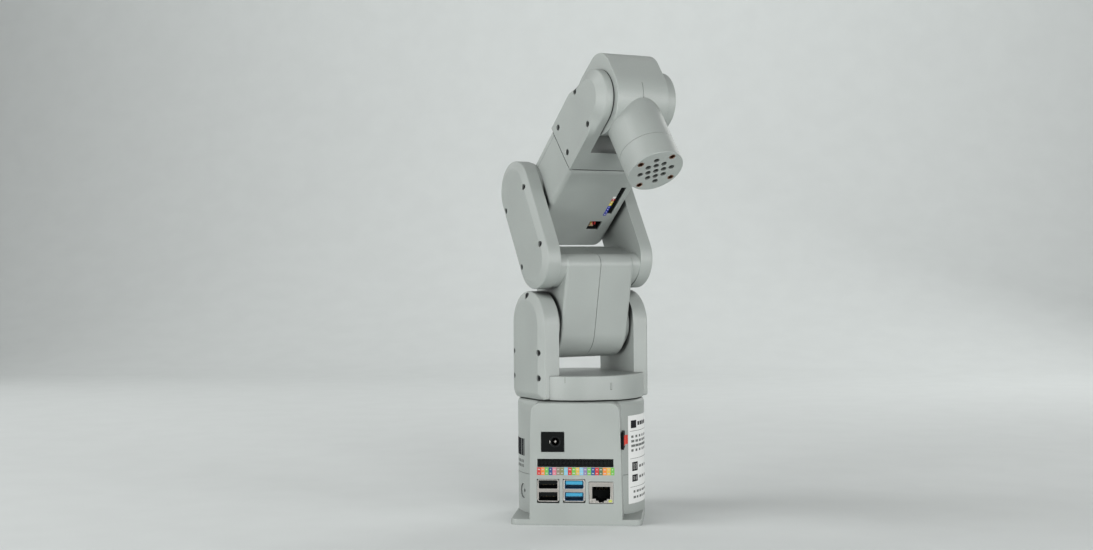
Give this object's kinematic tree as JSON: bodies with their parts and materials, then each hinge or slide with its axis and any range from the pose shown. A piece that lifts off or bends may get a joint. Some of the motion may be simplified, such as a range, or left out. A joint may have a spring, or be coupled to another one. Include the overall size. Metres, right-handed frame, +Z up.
{
  "type": "desktop robot arm",
  "caption": "Desktop robot arm on a round base with a socket panel and a rocker switch; jointed links end in a wrist head with a round tool flange.",
  "frame": {"origin": "the turntable axis where it meets the underside of the foot plate", "axes": "+Z up along the turntable axis; -Y out of the socket panel; +X towards the power switch side"},
  "size_m": [0.132, 0.157, 0.3198],
  "materials": {
    "shell": "fine-grained moulded plastic, pale grey with a green cast",
    "cover": "fine-grained moulded plastic, a shade darker than the shells",
    "black_plastic": "black connector plastic",
    "dark_plastic": "dark servo housing plastic",
    "red_plastic": "glossy red rocker",
    "white_plastic": "off-white connector plastic",
    "port_steel": "plated connector and bearing steel",
    "board_green": "green solder mask",
    "insert_brass": "turned brass"
  },
  "bodies": {
    "upper_arm": {"arm_cover_left": "cover", "arm_cover_right": "cover", "j2_servo": "dark_plastic", "j3_bearing_left": "port_steel", "j3_bearing_right": "port_steel", "upper_half_left": "shell", "upper_half_right": "shell"},
    "base": {"audio_jack": "black_plastic", "computer_board": "board_green", "ethernet_jack": "port_steel", "foot_plate": "shell", "header_board": "board_green", "j1_bearing": "port_steel", "j1_servo": "dark_plastic", "lower_shell": "shell", "pin_header": "black_plastic", "power_jack": "black_plastic", "switch_bezel": "black_plastic", "upper_shell": "shell", "usb2_stack": "port_steel", "usb3_stack": "port_steel"},
    "elbow": {"elbow_board": "board_green", "elbow_front": "shell", "elbow_header": "black_plastic", "elbow_port": "white_plastic", "elbow_rear": "shell", "j3_hub_left": "dark_plastic", "j3_hub_right": "dark_plastic", "j3_servo": "dark_plastic", "j4_servo": "dark_plastic"},
    "tool": {"flange_insert_a1": "insert_brass", "flange_insert_a2": "insert_brass", "flange_insert_b1": "insert_brass", "flange_insert_b2": "insert_brass", "tool_flange": "shell"},
    "forearm": {"forearm_cover_left": "cover", "forearm_cover_right": "cover", "forearm_fork": "shell"},
    "head": {"head_back": "cover", "head_shell": "shell", "j5_servo": "dark_plastic", "j6_servo": "dark_plastic"},
    "turntable": {"j2_bearing_left": "port_steel", "j2_bearing_right": "port_steel", "turn_disc": "shell", "upright_cover_left": "cover", "upright_cover_right": "cover", "upright_frame_left": "shell", "upright_frame_right": "shell"},
    "switch": {"switch_rocker": "red_plastic"}
  },
  "joints": [
    {"name": "turn", "type": "hinge", "parent": "base", "child": "turntable", "pos_m": [0, 0, 0.084], "axis": [0, 0, 1], "range_deg": [-194, 126]},
    {"name": "shoulder", "type": "hinge", "parent": "turntable", "child": "upper_arm", "pos_m": [0, 0, 0.1359], "axis": [-0.8271, -0.5621, 0], "range_deg": [-85, 98]},
    {"name": "elbow", "type": "hinge", "parent": "upper_arm", "child": "elbow", "pos_m": [-0.0106, 0.0156, 0.23072], "axis": [0.8271, 0.5621, 0], "range_deg": [-188, 24]},
    {"name": "forearm_roll", "type": "hinge", "parent": "elbow", "child": "forearm", "pos_m": [-0.00751, 0.01106, 0.22423], "axis": [0.4293, -0.6317, 0.6455], "range_deg": [-155, 155]},
    {"name": "wrist_pitch", "type": "hinge", "parent": "forearm", "child": "head", "pos_m": [0.0355, -0.05224, 0.2889], "axis": [-0.8271, -0.5621, 0], "range_deg": [-22, 207]},
    {"name": "tool_roll", "type": "hinge", "parent": "head", "child": "tool", "pos_m": [0.0355, -0.05224, 0.2889], "axis": [0.3406, -0.5012, -0.7955], "range_deg": [-175, 175]},
    {"name": "power_switch", "type": "hinge", "parent": "base", "child": "switch", "pos_m": [0.0314, -0.0433, 0.0573], "axis": [0, 0, 1], "range_deg": [0, 18]}
  ]
}
